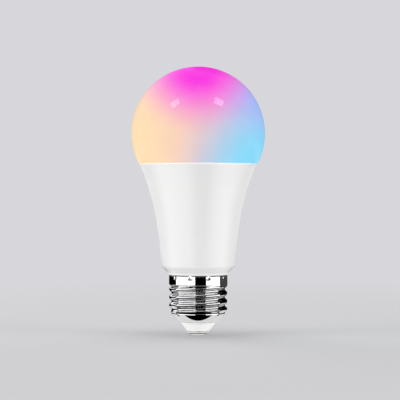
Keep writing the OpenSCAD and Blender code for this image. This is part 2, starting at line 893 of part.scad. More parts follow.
// Flat chip body with bevelled sides, standing on the back of the board.
module chip_body(at, w, h, t, lift = 0, bevel = 0.2) {
  y = board_back + lift;
  translate([at[0], y, at[1]])
    rotate([90, 0, 0]) mirror([0, 0, 1])
      linear_extrude(t)
        polygon([
          [-w / 2 + bevel, -h / 2], [w / 2 - bevel, -h / 2], [w / 2, -h / 2 + bevel], [w / 2, h / 2 - bevel],
          [w / 2 - bevel, h / 2], [-w / 2 + bevel, h / 2], [-w / 2, h / 2 - bevel], [-w / 2, -h / 2 + bevel]
        ]);
}

module bridge_rectifier() {
  color("black") chip_body(bridge_at, 4.7, 3.9, 1.5, 0.1);
}

module driver_chips() {
  color("black") for (at = chips_at) chip_body(at, 4.9, 3.9, 1.45, 0.1);
}

// Gull-wing leads of the chips and the bridge, drawn as an upright and a foot.
module gull_lead(x, z, side) {
  reach = 1;
  y = board_back;
  z0 = z + (side > 0 ? 0 : -reach);
  box([x - 0.2, y, z0], [x + 0.2, y + 0.18, z0 + reach]);
  foot = side > 0 ? z : z - 0.18;
  box([x - 0.2, y, foot], [x + 0.2, y + 0.9, foot + 0.18]);
}

module chip_leads() {
  color("silver") {
    for (at = chips_at, side = [-1, 1], i = [-1.5:1.5])
      gull_lead(at[0] + i * 1.27, at[1] + side * 1.95, side);
    for (side = [-1, 1], x = [-1.25, 1.25])
      gull_lead(bridge_at[0] + x, bridge_at[1] + side * 1.95, side);
  }
}

module rectifier_diodes() {
  color("dimgray") for (at = diodes_at) chip_body(at, 4.3, 2.6, 2, bevel = 0.3);
}

module chip_resistors() {
  color("black") for (at = resistors_at) chip_body(at, 2, 1.25, 0.5, bevel = 0.05);
}

module chip_capacitors() {
  color("tan") for (at = capacitors_at) chip_body(at, 2, 1.25, 0.9, bevel = 0.05);
}

// ---- Header and radio ----

// Plastic strip that holds the five pins to the light board.
module header_block() {
  y1 = board_front;
  color("black")
    difference() {
      box([-5.1, header_y - 1.1, 63], [5.1, y1, 65.5]);
      for (x = header_x)
        box([x - pin_w / 2, header_y - pin_w / 2, 62], [x + pin_w / 2, header_y + pin_w / 2, 67]);
    }
}

// Square pins: up through the light board, and back through the driver board.
module header_pins() {
  half = pin_w / 2;
  tail = 0.2;
  z0 = header_tail_z - tail;
  color("gold")
    for (x = header_x) {
      box([x - half, header_y - half, z0], [x + half, header_y + half, led_z + 1.4]);
      box([x - tail, header_y, z0], [x + tail, board_back + 0.8, header_tail_z + tail]);
    }
}

// Radio board with half-round notches down both edges.
module radio_board() {
  color("seagreen")
    difference() {
      box([-radio_w / 2, radio_y, radio_z0], [radio_w / 2, radio_y + radio_t, radio_z1]);
      for (side = [-1, 1], i = [0:5])
        peg([side * radio_w / 2, radio_z0 + 2 + i * 1.8], radio_y - 1, radio_y + radio_t + 1, 0.4);
      for (x = header_x) peg([x, radio_pin_z], radio_y - 1, radio_y + radio_t + 1, 0.35);
    }
}

// Printed aerial that zigzags across the top of the radio board.
module radio_aerial() {
  w = 0.5;
  y0 = radio_y + radio_t;
  t = 0.1;
  z0 = 74.6;
  legs = 7;
  pitch = 1.5;
  x0 = -legs * pitch / 2 + pitch / 2;
  h = 3.6;
  color("orange") {
    for (i = [0:legs - 1])
      box([x0 + i * pitch - w / 2, y0, z0], [x0 + i * pitch + w / 2, y0 + t, z0 + h]);
    for (i = [0:legs - 2])
      let (z = i % 2 == 0 ? z0 + h - w : z0)
      box([x0 + i * pitch, y0, z], [x0 + (i + 1) * pitch, y0 + t, z + w]);
    box([x0 - w / 2, y0, z0 - 2], [x0 + w / 2, y0 + t, z0 + 0.1]);
  }
}

// Pressed-steel can over the radio chip.
module radio_shield() {
  w = 10.4;
  z0 = 59.5;
  z1 = 69.5;
  y0 = radio_y + radio_t;
  h = 2;
  wall = 0.2;
  color("silver")
    difference() {
      box([-w / 2, y0, z0], [w / 2, y0 + h, z1]);
      box([-w / 2 + wall, y0 - 1, z0 + wall], [w / 2 - wall, y0 + h - wall, z1 - wall]);
    }
}

module radio_header() {
  color("black")
    difference() {
      box([-5.1, board_back, radio_pin_z - 1], [5.1, radio_y, radio_pin_z + 1]);
      for (x = header_x) peg([x, radio_pin_z], board_back - 1, radio_y + 1, 0.27);
    }
}

module radio_pins() {
  color("gold") for (x = header_x) peg([x, radio_pin_z], 0.4, radio_y + radio_t + 0.5, 0.27);
}

diffuser();
sealant_ring();
housing_shell();
heat_sink_cup();
cap_sleeve();
screw_shell();
base_insulator();
centre_contact();
contact_solder();
live_lead();
neutral_lead();
thermal_paste();
led_board_core();
led_board_mask();
led_packages();
led_terminals();
warm_phosphors();
cool_phosphors();
red_emitters();
green_emitters();
blue_emitters();
board_screws();
driver_board();
component_leads();
solder_joints();
fuse_resistor();
fuse_sleeve();
varistor();
film_capacitor();
bulk_capacitor_can();
bulk_capacitor_sleeve();
bulk_capacitor_bung();
choke_core();
choke_winding();
transformer_core();
transformer_bobbin();
transformer_winding();
output_capacitor_can();
output_capacitor_sleeve();
output_capacitor_bung();
bridge_rectifier();
driver_chips();
chip_leads();
rectifier_diodes();
chip_resistors();
chip_capacitors();
header_block();
header_pins();
radio_board();
radio_aerial();
radio_shield();
radio_header();
radio_pins();
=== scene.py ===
import json
import math

import bmesh
import bpy
import numpy as np
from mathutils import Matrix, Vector


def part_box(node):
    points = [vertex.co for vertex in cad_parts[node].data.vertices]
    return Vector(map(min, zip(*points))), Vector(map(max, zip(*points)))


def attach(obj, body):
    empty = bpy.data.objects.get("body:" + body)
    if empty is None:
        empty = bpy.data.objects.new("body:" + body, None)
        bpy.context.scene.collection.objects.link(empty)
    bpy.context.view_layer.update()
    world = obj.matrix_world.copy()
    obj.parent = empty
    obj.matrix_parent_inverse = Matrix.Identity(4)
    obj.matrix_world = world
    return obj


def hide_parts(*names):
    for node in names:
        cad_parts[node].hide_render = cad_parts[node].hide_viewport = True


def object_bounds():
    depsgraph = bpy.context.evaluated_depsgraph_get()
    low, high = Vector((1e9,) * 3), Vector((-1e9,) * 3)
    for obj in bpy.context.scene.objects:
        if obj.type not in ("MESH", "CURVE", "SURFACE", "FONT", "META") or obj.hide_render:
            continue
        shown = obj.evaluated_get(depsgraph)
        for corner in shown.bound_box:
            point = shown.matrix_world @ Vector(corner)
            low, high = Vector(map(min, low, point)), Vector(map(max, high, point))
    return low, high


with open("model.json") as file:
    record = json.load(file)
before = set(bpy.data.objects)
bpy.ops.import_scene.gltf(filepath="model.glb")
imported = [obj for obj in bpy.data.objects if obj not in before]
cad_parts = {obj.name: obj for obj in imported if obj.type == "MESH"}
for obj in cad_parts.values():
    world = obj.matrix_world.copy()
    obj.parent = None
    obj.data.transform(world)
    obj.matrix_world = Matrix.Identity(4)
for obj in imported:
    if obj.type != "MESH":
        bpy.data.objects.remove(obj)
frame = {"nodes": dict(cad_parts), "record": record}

# Looks of the smart light bulb: fine meshes for the outside, a procedural material for every slot, and a
# studio. Outlines are [radius, height] in millimetres about the bulb's axis, and meshes are made in metres.

MM = 0.001
cad_low, cad_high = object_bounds()


def box_mm(node):
    """Lowest and highest corner of a CAD node, in millimetres."""
    low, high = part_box(node)
    return low / MM, high / MM


# ---- Sizes from the frame ----

_, globe_high = box_mm("diffuser")
housing_low, housing_high = box_mm("housing_shell")
shell_low, shell_high = box_mm("screw_shell")
insulator_low, _ = box_mm("base_insulator")
_, contact_high = box_mm("centre_contact")

CROWN_Z = globe_high.z
GLOBE_R = round(globe_high.x, 1)
GLOBE_Z = CROWN_Z - GLOBE_R
SEAM_Z = housing_high.z
SOLE_Z = housing_low.z
COLLAR_R = round(shell_high.x, 2)
SHELL_EDGE_Z = shell_low.z
CAP_TOP_Z = shell_high.z
CONTACT_R = round(contact_high.x, 2)
INSULATOR_Z = insulator_low.z

# Housing: its radius is an even taper plus a late flare.
FOOT_R = 16.6
FOOT_Z = 31.4
TAPER_R = 3.7
FLARE_R = 6.3
FLARE_POWER = 2.6
HOUSING_WALL = 1.3

# Joint between housing and globe.
SEAM_GAP = 0.15
SPIGOT_R = 23.6
SPIGOT_END_Z = 72.9
SNAP_Z = 74.3
SEALANT_R = 24.65
SEALANT_H = 0.8
GLOBE_WALL = 1.4

# Screw cap: a round knuckle thread of one start.
CREST_R = 13.1
ROOT_R = 12.004
KNUCKLE_R = 1.025
PITCH = 3.629
CREST_Z = 15.09
THREAD_Z0 = 9.6
THREAD_Z1 = 23.1
RUN_IN = 1.6
RUN_OUT = 0.9
SHOULDER_R = 12.054
SHEET = 0.3
CRIMPS = 10
CRIMP_Z = 25.8
CRIMP_R = 0.62
CRIMP_DEPTH = 0.22
CRIMP_TURN = 20.4


# ---- Outlines ----

def arc(r, z, radius, start, end, steps):
    """Points on an arc about [r, z], with its angles in degrees."""
    return [
        (r + radius * math.cos(math.radians(t)), z + radius * math.sin(math.radians(t)))
        for t in np.linspace(start, end, steps + 1)
    ]


def bend(a, b, c, steps):
    """Points on a quadratic curve from a to c that is pulled towards b."""
    a, b, c = np.array(a), np.array(b), np.array(c)
    return [tuple((1 - t) ** 2 * a + 2 * t * (1 - t) * b + t * t * c) for t in np.linspace(0, 1, steps + 1)]


def rounded(before, corner, after, fillet, steps=4):
    """Points that round one corner of an outline with an arc of the fillet's radius."""
    corner = np.array(corner)
    back = (np.array(before) - corner) / np.linalg.norm(np.array(before) - corner)
    ahead = (np.array(after) - corner) / np.linalg.norm(np.array(after) - corner)
    half = math.acos(max(-1.0, min(1.0, float(back @ ahead)))) / 2
    centre = corner + (back + ahead) / np.linalg.norm(back + ahead) * fillet / math.sin(half)
    first = corner + back * fillet / math.tan(half) - centre
    last = corner + ahead * fillet / math.tan(half) - centre
    sweep = math.atan2(first[0] * last[1] - first[1] * last[0], first @ last)
    angle = math.atan2(first[1], first[0])
    turns = [angle + sweep * i / steps for i in range(steps + 1)]
    return [(centre[0] + fillet * math.cos(t), centre[1] + fillet * math.sin(t)) for t in turns]


def housing_r(z):
    """Outer radius of the housing at height z."""
    t = (z - FOOT_Z) / (SEAM_Z - FOOT_Z)
    return FOOT_R + TAPER_R * t + FLARE_R * max(t, 0) ** FLARE_POWER


def housing_line(start, end, inward, steps):
    """Points along the housing's wall, inward of its outer face."""
    return [(housing_r(z) - inward, z) for z in np.linspace(start, end, steps + 1)]


# ---- Meshes ----

def make_piece(name, points, faces, look, nodes):
    """A smooth piece from points in metres that rides on the bulb and stands for its CAD nodes."""
    mesh = bpy.data.meshes.new(name)
    mesh.from_pydata(points, [], faces)
    tidy = bmesh.new()
    tidy.from_mesh(mesh)
    bmesh.ops.recalc_face_normals(tidy, faces=tidy.faces)
    tidy.to_mesh(mesh)
    tidy.free()
    mesh.shade_smooth()
    mesh.set_sharp_from_angle(angle=math.radians(38))
    mesh.materials.append(look)
    piece = bpy.data.objects.new(name, mesh)
    bpy.context.scene.collection.objects.link(piece)
    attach(piece, "root")
    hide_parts(*nodes)
    return piece


def ring_faces(rows, columns, closed):
    """Quads between neighbouring rows of points, each row running once round the axis."""
    pairs = [(i, i + 1) for i in range(rows - 1)] + ([(rows - 1, 0)] if closed else [])
    return [
        (a * columns + j, a * columns + (j + 1) % columns, b * columns + (j + 1) % columns, b * columns + j)
        for a, b in pairs
        for j in range(columns)
    ]


def lathe(name, outline, look, nodes, columns=256):
    """A piece turned about the axis. An outline that starts and ends on the axis closes in two poles."""
    open_ended = outline[0][0] < 1e-6
    turned = outline[1:-1] if open_ended else outline
    angles = [2 * math.pi * j / columns for j in range(columns)]
    points = [(r * MM * math.cos(a), r * MM * math.sin(a), z * MM) for r, z in turned for a in angles]
    faces = ring_faces(len(turned), columns, not open_ended)
    if open_ended:
        start, end, last = len(points), len(points) + 1, (len(turned) - 1) * columns
        points += [(0, 0, outline[0][1] * MM), (0, 0, outline[-1][1] * MM)]
        faces += [(start, j, (j + 1) % columns) for j in range(columns)]
        faces += [(end, last + j, last + (j + 1) % columns) for j in range(columns)]
    return make_piece(name, points, faces, look, nodes)


# ---- Materials ----

class Look:
    """One procedural material: a Principled shader and short calls for the nodes that feed it."""

    def __init__(self, name, roughness=0.5, metallic=0.0, sockets=()):
        self.material = bpy.data.materials.new(name)
        self.material.use_nodes = True
        self.nodes = self.material.node_tree.nodes
        self.links = self.material.node_tree.links
        self.shader = self.nodes["Principled BSDF"]
        self.place = self.nodes.new("ShaderNodeTexCoord").outputs["Object"]
        self.feed(self.shader, {"Roughness": roughness, "Metallic": metallic, **dict(sockets)})

    def feed(self, node, inputs):
        for name, value in inputs.items():
            if isinstance(value, bpy.types.NodeSocket):
                self.links.new(value, node.inputs[name])
            else:
                node.inputs[name].default_value = value

    def add(self, kind, inputs, **settings):
        node = self.nodes.new("ShaderNode" + kind)
        for name, value in settings.items():
            setattr(node, name, value)
        self.feed(node, inputs)
        return node

    def stretch(self, x, y, z):
        """The surface's own coordinates, scaled along each axis."""
        return self.add("Mapping", {"Vector": self.place, "Scale": (x, y, z)}).outputs["Vector"]

    def noise(self, size, detail=3.0, vector=None, rough=0.5):
        """Soft noise whose blobs are about size millimetres across."""
        inputs = {"Vector": vector or self.place, "Scale": 1 / (size * MM)}
        return self.add("TexNoise", {**inputs, "Detail": detail, "Roughness": rough}).outputs["Fac"]

    def cells(self, size, feature="F1"):
        """Cells about size millimetres across, as the distance to their centres or to their edges."""
        inputs = {"Vector": self.place, "Scale": 1 / (size * MM)}
        return self.add("TexVoronoi", inputs, feature=feature).outputs["Distance"]

    def bands(self, pitch, axis):
        """Smooth bands across one axis, one to each pitch in millimetres."""
        # A wave texture runs 20 radians for each unit of its scaled coordinate.
        scale = math.pi / 10 / (pitch * MM)
        inputs = {"Vector": self.place, "Scale": scale, "Distortion": 0.0}
        return self.add("TexWave", inputs, bands_direction=axis).outputs["Fac"]

    def spread(self, value, low, high, to_low, to_high, kind="LINEAR"):
        """A value's range from low to high, stretched to another range and held at its ends."""
        inputs = {"Value": value, "From Min": low, "From Max": high, "To Min": to_low, "To Max": to_high}
        return self.add("MapRange", inputs, interpolation_type=kind).outputs["Result"]

    def product(self, a, b):
        return self.add("Math", {0: a, 1: b}, operation="MULTIPLY").outputs["Value"]

    def mix(self, share, a, b):
        """Colour a, turning into colour b as share grows to 1."""
        # A mix node's colour sockets are numbers 6 and 7, and its colour output is number 2.
        return self.add("Mix", {0: share, 6: a, 7: b}, data_type="RGBA").outputs[2]

    def bump(self, height, depth, normal=None):
        """A bump depth millimetres high, on top of an earlier one if normal is given."""
        inputs = {"Height": height, "Distance": depth * MM, "Strength": 1.0}
        if normal:
            inputs["Normal"] = normal
        return self.add("Bump", inputs).outputs["Normal"]

    def finish(self, **inputs):
        """Joins colour, roughness, normal and glow to the shader."""
        names = {"colour": "Base Color", "roughness": "Roughness", "normal": "Normal"}
        names["glow"] = "Emission Color"
        self.feed(self.shader, {names[key]: value for key, value in inputs.items()})
        return self.material


def rgb(colour, factor=1.0):
    """A colour made lighter or darker by a factor, with its alpha."""
    return tuple(min(1.0, c * factor) for c in colour) + (1.0,)


def plastic(name, colour, roughness=0.4, grain=0.12, depth=0.004, coat=0.0, drift=0.03):
    """Moulded plastic: a fine spark-eroded grain, slow sink waves and a slight drift of tone."""
    look = Look(name, sockets={"Coat Weight": coat, "Coat Roughness": 0.12, "IOR": 1.5})
    slow = look.noise(9.0, 2.0)
    fine = look.noise(grain, 4.0)
    share = look.spread(slow, 0.3, 0.7, 0.0, 1.0)
    tone = look.mix(share, rgb(colour, 1 - drift), rgb(colour, 1 + drift / 2))
    shine = look.spread(look.noise(3.0, 4.0), 0.3, 0.7, roughness - 0.05, roughness + 0.05)
    waves = look.bump(slow, 0.02)
    return look.finish(colour=tone, roughness=shine, normal=look.bump(fine, depth, waves))


def metal(name, colour, roughness=0.25, lay=(1, 1, 12), line=0.9, depth=0.003, wear=0.04):
    """Sheet or turned metal: fine lines along its lay, cloudy tarnish and small rubs."""
    look = Look(name, metallic=1.0)
    lines = look.noise(line, 5.0, look.stretch(*lay), 0.65)
    clouds = look.noise(2.5, 4.0)
    share = look.spread(clouds, 0.35, 0.7, 0.0, 1.0)
    tone = look.mix(share, rgb(colour, 1 + wear), rgb(colour, 1 - 2 * wear))
    shine = look.spread(lines, 0.25, 0.75, roughness * 0.75, roughness * 1.35)
    return look.finish(colour=tone, roughness=shine, normal=look.bump(lines, depth))


def rubber(name, colour, roughness=0.7, grain=0.2):
    """Rubber, silicone or paste: matt, a little dusty, with a soft pitted skin."""
    look = Look(name, sockets={"Sheen Weight": 0.15, "Sheen Roughness": 0.5})
    pits = look.noise(grain, 5.0)
    dust = look.noise(1.6, 5.0)
    tone = look.mix(look.spread(dust, 0.45, 0.75, 0.0, 0.35), rgb(colour), rgb(colour, 1.35))
    shine = look.spread(dust, 0.3, 0.7, roughness - 0.08, roughness + 0.1)
    return look.finish(colour=tone, roughness=shine, normal=look.bump(pits, 0.015))


def ceramic(name, colour, roughness=0.55, grain=0.14):
    """Pressed and fired powder: speckled, with small pores."""
    look = Look(name)
    grains = look.cells(grain)
    pores = look.noise(grain * 2.5, 6.0)
    tone = look.mix(look.spread(grains, 0.1, 0.8, 0.0, 1.0), rgb(colour, 0.8), rgb(colour, 1.25))
    shine = look.spread(pores, 0.3, 0.7, roughness - 0.1, roughness + 0.12)
    return look.finish(colour=tone, roughness=shine, normal=look.bump(pores, 0.012))


def circuit_board(name, colour):
    """Glass-fibre board under solder mask: copper areas show lighter and stand a little proud."""
    look = Look(name, sockets={"Coat Weight": 0.4, "Coat Roughness": 0.15})
    gaps = look.cells(3.2, "DISTANCE_TO_EDGE")
    copper = look.spread(gaps, 0.05, 0.09, 0.0, 1.0, "SMOOTHSTEP")
    weave = look.product(look.bands(0.5, "X"), look.bands(0.5, "Z"))
    bare = look.mix(weave, rgb(colour, 0.6), rgb(colour, 0.8))
    tone = look.mix(copper, bare, rgb(colour, 1.3))
    shine = look.spread(look.noise(1.2), 0.3, 0.7, 0.24, 0.4)
    normal = look.bump(copper, 0.03, look.bump(weave, 0.006))
    return look.finish(colour=tone, roughness=shine, normal=normal)


def phosphor(name, colour, glow):
    """Phosphor grains in clear silicone, with a faint glow of their own."""
    look = Look(name, roughness=0.35, sockets={"Emission Strength": 0.8})
    grains = look.cells(0.08)
    share = look.spread(grains, 0.1, 0.7, 0.0, 1.0)
    tone = look.mix(share, rgb(colour, 0.85), rgb(colour, 1.1))
    light = look.mix(share, rgb(glow, 0.7), rgb(glow, 1.2))
    return look.finish(colour=tone, glow=light, normal=look.bump(grains, 0.01))


def wound_wire(name, colour, pitch, axis):
    """Enamelled wire in close turns across one axis, with painted shade in the grooves between turns."""
    look = Look(name, roughness=0.22, metallic=1.0, sockets={"Coat Weight": 0.6, "Coat Roughness": 0.08})
    turns = look.bands(pitch, axis)
    stain = look.noise(1.4, 4.0)
    # Painted shade: each turn darkens towards the groove beside it, down to 0.45 of its colour, with the
    # same bands as the bump.
    tone = look.mix(turns, rgb(colour, 0.45), rgb(colour, 1.1))
    tone = look.mix(look.spread(stain, 0.4, 0.8, 0.0, 0.5), tone, rgb(colour, 0.7))
    return look.finish(colour=tone, normal=look.bump(turns, 0.12))


def tape(name, colour):
    """Polyester tape in lapped layers: smooth, with fine wrinkles and the lap's edge."""
    look = Look(name, roughness=0.28, sockets={"Coat Weight": 0.5, "Coat Roughness": 0.1})
    wrinkles = look.noise(1.8, 4.0, look.stretch(0.25, 1, 1))
    laps = look.bands(3.5, "X")
    tone = look.mix(look.spread(laps, 0.85, 1.0, 0.0, 1.0), rgb(colour), rgb(colour, 0.75))
    tone = look.mix(look.spread(wrinkles, 0.5, 0.8, 0.0, 0.4), tone, rgb(colour, 1.15))
    return look.finish(colour=tone, normal=look.bump(wrinkles, 0.05, look.bump(laps, 0.03)))


# Colours of the lit globe, in linear light.
SOFT_PINK = (0.9, 0.5, 0.6)
WARM_WHITE = (1.0, 0.75, 0.45)
SKY_BLUE = (0.25, 0.7, 0.95)
PERIWINKLE = (0.35, 0.5, 0.95)
MAGENTA = (0.95, 0.03, 0.75)

# Lights inside the globe, in globe radii from its middle, the later ones over the earlier ones.
# Each has a centre across and up, the distances between which it fades out, and a colour.
GLOWS = (
    ((-1.3, -0.2), (0.3, 2.0), WARM_WHITE),
    ((1.4, -0.8), (0.8, 1.9), SKY_BLUE),
    ((1.0, 0.6), (0.1, 0.9), PERIWINKLE),
    ((0.0, 1.0), (0.2, 1.1), MAGENTA),
)


def glow_colour(look):
    """The mixed light of the LEDs: warm on one side, sky blue on the other and magenta at the crown."""
    middle = (0.0, 0.0, -GLOBE_Z / GLOBE_R)
    scale = 1 / (GLOBE_R * MM)
    mapping = look.add("Mapping", {"Vector": look.place, "Location": middle, "Scale": (scale, 0.0, scale)})
    colour = rgb(SOFT_PINK)
    for (across, up), (near, far), light in GLOWS:
        centre = {0: mapping.outputs["Vector"], 1: (across, 0.0, up)}
        apart = look.add("VectorMath", centre, operation="DISTANCE").outputs["Value"]
        share = look.spread(apart, near, far, 1.0, 0.0, "SMOOTHSTEP")
        colour = look.mix(share, colour, rgb(light))
    return colour


def opal_globe(name):
    """Milky polycarbonate lit from inside, with a glossy moulded skin, and a base colour painted with the
    inner light's colours.
    """
    sockets = {"Emission Strength": 0.8, "Specular IOR Level": 0.05}
    look = Look(name, sockets={**sockets, "Coat Weight": 0.15, "Coat Roughness": 0.04})
    colour = glow_colour(look)
    cloud = look.noise(6.0, 3.0)
    # Painted light: the base colour is the inner light's colour pattern, dimmed at random to between 0.21
    # and 0.24 of it.
    painted_glow_base = look.mix(look.spread(cloud, 0.3, 0.7, 0.76, 0.79), colour, (0.0, 0.0, 0.0, 1.0))
    shine = look.spread(look.noise(0.3, 3.0), 0.3, 0.7, 0.4, 0.5)
    waves = look.bump(look.noise(14.0, 1.0), 0.008)
    normal = look.bump(look.noise(0.25, 3.0), 0.0006, waves)
    return look.finish(colour=painted_glow_base, glow=colour, roughness=shine, normal=normal)


def satin_housing(name, colour):
    """White moulded housing: satin grain, and a painted glow along the top of its rim, as if light from the
    globe shone through it.
    """
    sockets = {"IOR": 1.5, "Emission Strength": 0.25, "Coat Weight": 0.8, "Coat Roughness": 0.3}
    look = Look(name, sockets=sockets)
    slow = look.noise(12.0, 2.0)
    grain = look.noise(0.16, 4.0)
    tone = look.mix(look.spread(slow, 0.3, 0.7, 0.0, 1.0), rgb(colour, 0.985), rgb(colour, 1.0))
    height = look.add("SeparateXYZ", {"Vector": look.place}).outputs["Z"]
    # Painted glow: white emission over the rim's top, at strength 0.25, fading in between 0.7 and 0.2 mm
    # below the seam.
    painted_rim_glow = look.spread(height, (SEAM_Z - 0.7) * MM, (SEAM_Z - 0.2) * MM, 0.0, 1.0, "SMOOTHSTEP")
    glow = look.mix(painted_rim_glow, (0, 0, 0, 1), (1, 1, 1, 1))
    shine = look.spread(look.noise(2.5, 4.0), 0.3, 0.7, 0.4, 0.47)
    normal = look.bump(grain, 0.003, look.bump(slow, 0.03))
    return look.finish(colour=tone, glow=glow, roughness=shine, normal=normal)


def bright_nickel(name, colour):
    """Bright plated sheet: mirror-like, with faint rolling lines, ripples and hairline rubs."""
    look = Look(name, metallic=1.0)
    lines = look.noise(1.2, 4.0, look.stretch(1, 1, 14), 0.6)
    rubs = look.noise(0.5, 6.0, look.stretch(0.15, 0.15, 3), 0.7)
    tone = look.mix(look.spread(rubs, 0.55, 0.8, 0.0, 1.0), rgb(colour, 1.04), rgb(colour, 0.92))
    shine = look.spread(rubs, 0.45, 0.8, 0.02, 0.08)
    normal = look.bump(lines, 0.0005, look.bump(look.noise(2.2, 1.0), 0.008))
    return look.finish(colour=tone, roughness=shine, normal=normal)


def cone_plastic(name, colour):
    """Glossy white insulator, moulded smooth."""
    look = Look(name, sockets={"Coat Weight": 0.7, "Coat Roughness": 0.08, "IOR": 1.52})
    slow = look.noise(4.0, 2.0)
    tone = look.mix(look.spread(slow, 0.3, 0.7, 0.0, 1.0), rgb(colour, 1.06), rgb(colour, 1.1))
    shine = look.spread(look.noise(0.7, 4.0), 0.3, 0.7, 0.2, 0.3)
    return look.finish(colour=tone, roughness=shine, normal=look.bump(slow, 0.015))


# Looks by material slot. Other slots take the look of their material class.
SPECIAL_LOOKS = {
    "diffuser": lambda name, colour, glow: opal_globe(name),
    "housing_plastic": lambda name, colour, glow: satin_housing(name, colour),
    "sleeve_plastic": lambda name, colour, glow: plastic(name, colour, 0.32, 0.15, 0.003),
    "nickel_plate": lambda name, colour, glow: bright_nickel(name, colour),
    "contact_plate": lambda name, colour, glow: metal(name, rgb(colour, 1.2)[:3], 0.2, (1, 1, 6), 0.6),
    "insulator": lambda name, colour, glow: cone_plastic(name, colour),
    "solder": lambda name, colour, glow: metal(name, colour, 0.2, (1, 1, 1), 0.7, 0.02, 0.06),
    "green_board": lambda name, colour, glow: circuit_board(name, colour),
    "warm_phosphor": phosphor,
    "cool_phosphor": phosphor,
    "red_emitter": phosphor,
    "green_emitter": phosphor,
    "blue_emitter": phosphor,
    "enamelled_copper": lambda name, colour, glow: wound_wire(name, colour, 0.39, "Y"),
    "yellow_tape": lambda name, colour, glow: tape(name, colour),
    "chip_plastic": lambda name, colour, glow: plastic(name, colour, 0.55, 0.08, 0.008, drift=0.15),
    "resistor_glaze": lambda name, colour, glow: plastic(name, colour, 0.2, 0.3, 0.004, 0.5, 0.1),
    "blue_epoxy": lambda name, colour, glow: plastic(name, colour, 0.25, 0.9, 0.03, 0.6, 0.12),
    "dark_sleeve": lambda name, colour, glow: plastic(name, colour, 0.25, 0.8, 0.012, 0.4, 0.12),
    "blue_sleeve": lambda name, colour, glow: plastic(name, colour, 0.25, 0.8, 0.012, 0.4, 0.12),
}
CLASS_LOOKS = {
    "gloss_plastic": lambda name, colour: plastic(name, colour, 0.25, 0.2, 0.003, 0.3),
    "matte_plastic": lambda name, colour: plastic(name, colour, 0.5, 0.1, 0.006, drift=0.1),
    "rubber": rubber,
    "ceramic": ceramic,
    "painted_metal": lambda name, colour: plastic(name, colour, 0.45, 0.25, 0.006),
    "aluminium": lambda name, colour: metal(name, colour, 0.3, (1, 1, 10), 0.8, 0.004),
    "brushed_steel": lambda name, colour: metal(name, colour, 0.28, (1, 6, 1), 0.5, 0.004),
    "chrome": lambda name, colour: metal(name, colour, 0.12),
    "brass": lambda name, colour: metal(name, colour, 0.2, (1, 1, 8), 0.5, 0.003, 0.08),
}


def slot_look(entry):
    """The material of one of the record's slots."""
    name, colour = entry["slot"], tuple(entry["base_color"])
    if name in SPECIAL_LOOKS:
        return SPECIAL_LOOKS[name](name, colour, tuple(entry.get("emissive") or (0, 0, 0)))
    return CLASS_LOOKS[entry["class"]](name, colour)


looks = {entry["slot"]: slot_look(entry) for entry in frame["record"]["materials"]}


# ---- Carried-over CAD pieces ----

for part in frame["record"]["subparts"]:
    node = frame["nodes"][part["node"]]
    node.data.materials.clear()
    node.data.materials.append(looks[part["material_slot"]])
    node.data.shade_smooth()
    node.data.set_sharp_from_angle(angle=math.radians(30))


# ---- Outside of the bulb ----

def globe():
    """The milky globe, with a soft edge over the seam and the spigot and snap bead inside the rim."""
    seam_top = SEAM_Z + SEAM_GAP
    drop = GLOBE_Z - seam_top
    inner_r = GLOBE_R - GLOBE_WALL
    edge = 0.35
    shelf_z = seam_top + 1.25
    spigot_wall = 1.2
    bead_r = 0.4
    start = -math.degrees(math.asin((drop - edge) / GLOBE_R))
    shelf_start = -math.degrees(math.asin((GLOBE_Z - shelf_z) / inner_r))
    lip_r = math.sqrt(GLOBE_R ** 2 - drop ** 2)
    bore_r = SPIGOT_R - spigot_wall
    tip = [(bore_r, SPIGOT_END_Z), (SPIGOT_R - 0.3, SPIGOT_END_Z), (SPIGOT_R, SPIGOT_END_Z + 0.4)]
    outside = arc(0, GLOBE_Z, GLOBE_R, start, 90, 110)
    inside = arc(0, GLOBE_Z, inner_r, 90, shelf_start, 60)
    lip = bend((SPIGOT_R, seam_top), (lip_r - 0.02, seam_top), outside[0], 8)
    spigot = [(bore_r, shelf_z)] + tip + arc(SPIGOT_R, SNAP_Z, bead_r, -90, 90, 8)
    outline = [(0, GLOBE_Z + inner_r)] + inside[1:] + spigot + lip[:-1] + outside[:-1] + [(0, CROWN_Z)]
    lathe("globe", outline, looks["diffuser"], ["diffuser"])


def housing():
    """The housing: stepped foot, flared wall and a rounded rim round the sealant's groove."""
    bore_r = SPIGOT_R + 0.05
    hole_r = 12.35
    sole_r = 14.1
    floor_z = 29.8
    inner_foot_r = 14.9
    inner_sole_r = 13.3
    foot_edge = 1.5
    rim_edge = 0.5
    groove_r = 0.45
    ledge_top = 72.7
    ledge_low = 71.1
    ledge_r = bore_r - 0.7
    foot = arc(FOOT_R - foot_edge, FOOT_Z, foot_edge, -58, 0, 12)
    outline = rounded((hole_r, floor_z), (hole_r, SOLE_Z), (sole_r, SOLE_Z), 0.12)
    outline += rounded((hole_r, SOLE_Z), (sole_r, SOLE_Z), foot[0], 0.25)
    outline += foot
    outline += housing_line(FOOT_Z + 0.8, SEAM_Z - rim_edge, 0, 90)
    outline += arc(housing_r(SEAM_Z) - rim_edge, SEAM_Z - rim_edge, rim_edge, 20, 90, 8)
    outline += [(SEALANT_R, SEAM_Z), (SEALANT_R, SEAM_Z - SEALANT_H), (bore_r, SEAM_Z - SEALANT_H)]
    outline += arc(bore_r, SNAP_Z, groove_r, 90, -90, 8)
    outline += [(bore_r, ledge_top), (ledge_r, ledge_top), (ledge_r, ledge_low)]
    outline += housing_line(ledge_low - 0.1, FOOT_Z + 0.6, HOUSING_WALL, 50)
    outline += [(inner_foot_r, FOOT_Z), (inner_sole_r, floor_z), (hole_r, floor_z)]
    lathe("housing", outline, looks["housing_plastic"], ["housing_shell"])


